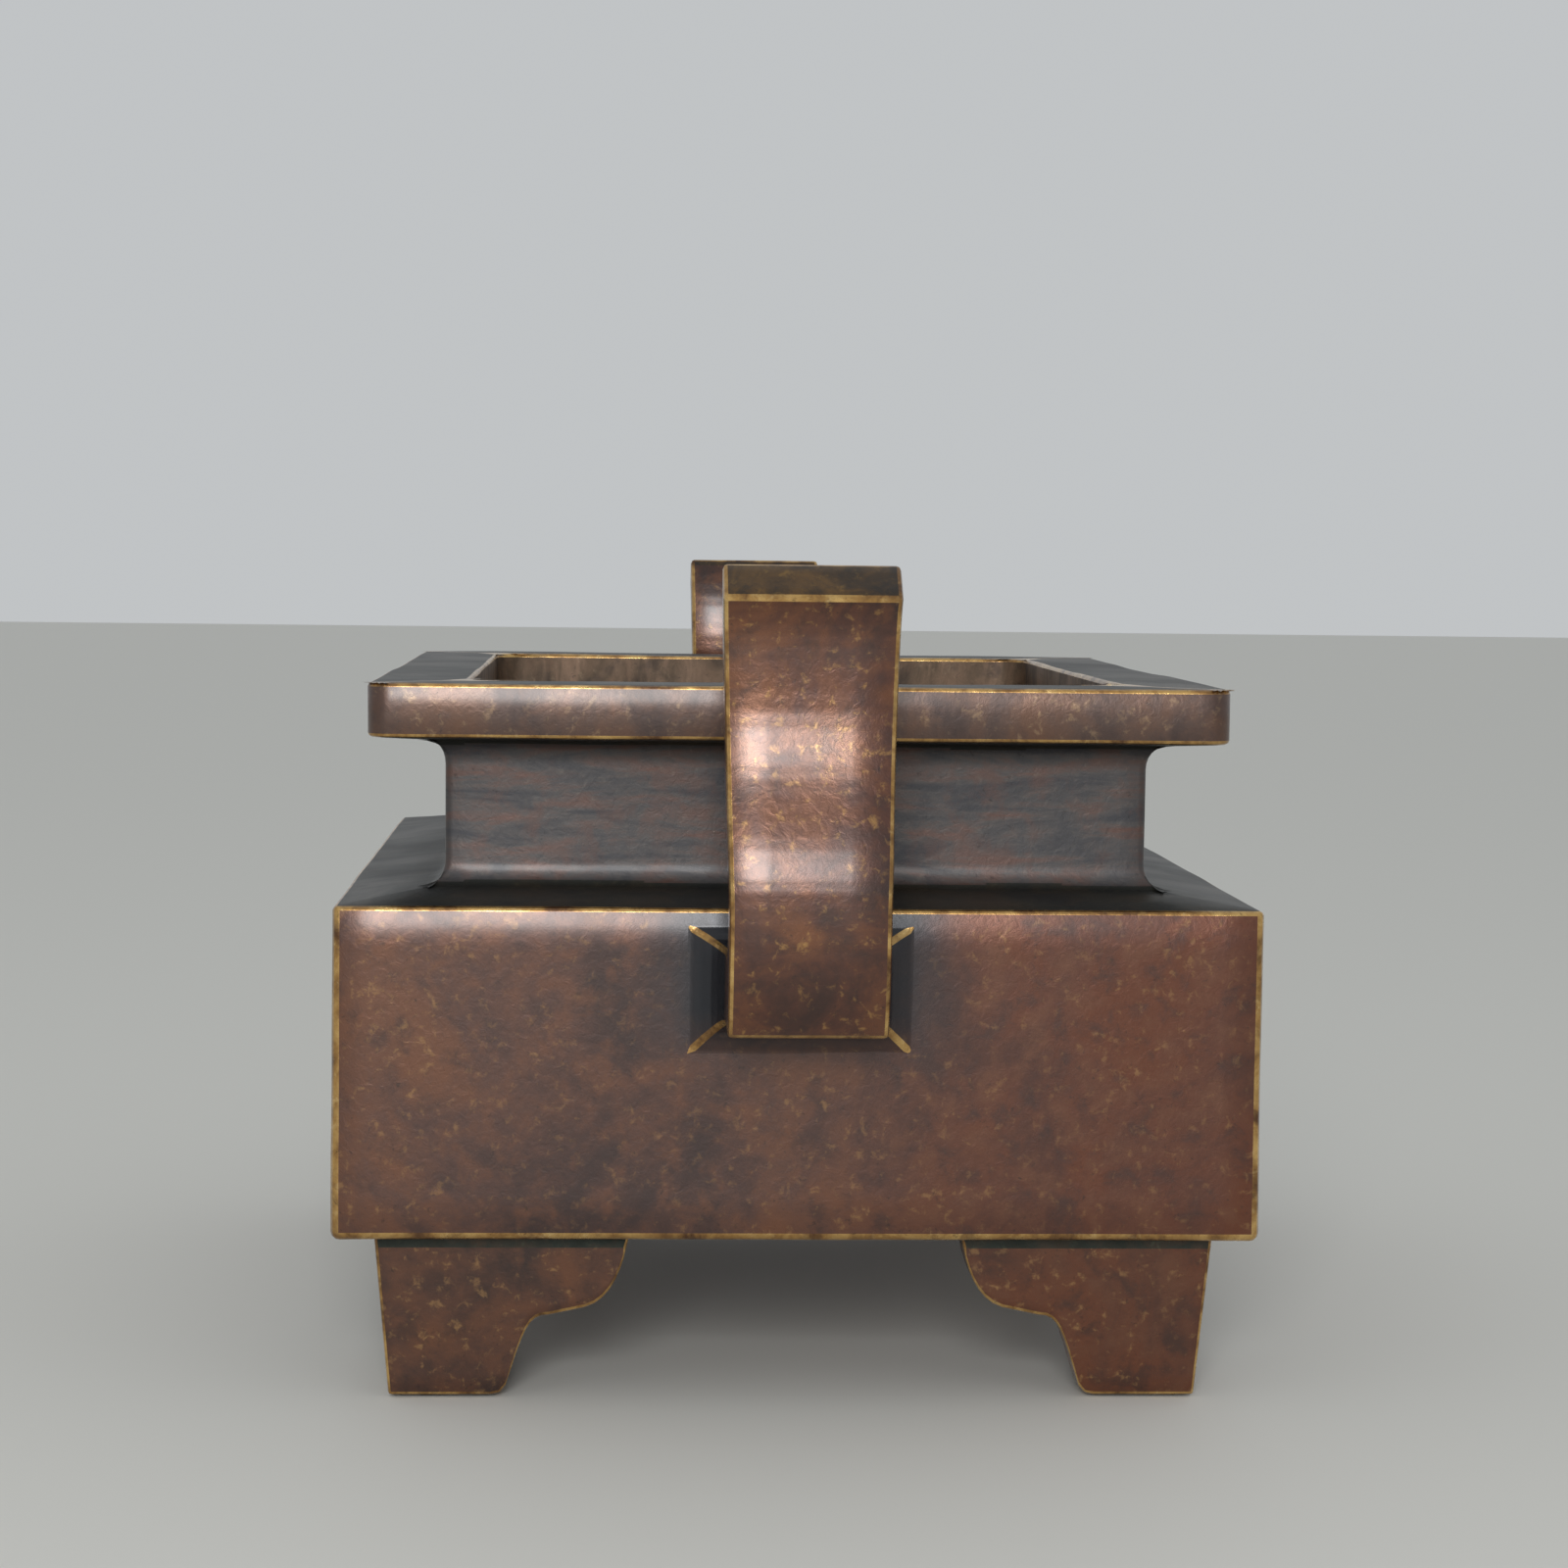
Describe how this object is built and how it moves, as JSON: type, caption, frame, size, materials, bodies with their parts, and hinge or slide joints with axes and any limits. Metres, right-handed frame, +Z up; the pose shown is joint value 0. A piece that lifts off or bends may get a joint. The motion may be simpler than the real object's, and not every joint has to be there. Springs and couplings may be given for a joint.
{
  "type": "rectangular incense burner",
  "caption": "Oblong bronze incense burner on bracket feet, with a waisted neck, flat rim round an open mouth and an S-curved strap handle on each short end.",
  "frame": {"origin": "on the floor, under the middle of the vessel", "axes": "+Z up, +Y along the vessel's length through both handles, +X across it"},
  "size_m": [0.108, 0.1744, 0.098],
  "materials": {
    "body_bronze": "cast bronze, waxed red-brown patina, worn bright along its edges",
    "handle_bronze": "cast bronze, waxed red-brown patina",
    "foot_bronze": "cast bronze, mottled red-brown patina",
    "rivet_copper": "dull hammered copper"
  },
  "bodies": {
    "root": {"body": "body_bronze", "handle_front": "handle_bronze", "handle_back": "handle_bronze", "foot_front_left": "foot_bronze", "foot_front_right": "foot_bronze", "foot_back_right": "foot_bronze", "foot_back_left": "foot_bronze", "foot_rivet_front_left": "rivet_copper", "foot_rivet_front_right": "rivet_copper", "foot_rivet_back_right": "rivet_copper", "foot_rivet_back_left": "rivet_copper", "handle_rivet_front_left": "rivet_copper", "handle_rivet_front_right": "rivet_copper", "handle_rivet_back_left": "rivet_copper", "handle_rivet_back_right": "rivet_copper"}
  },
  "joints": []
}
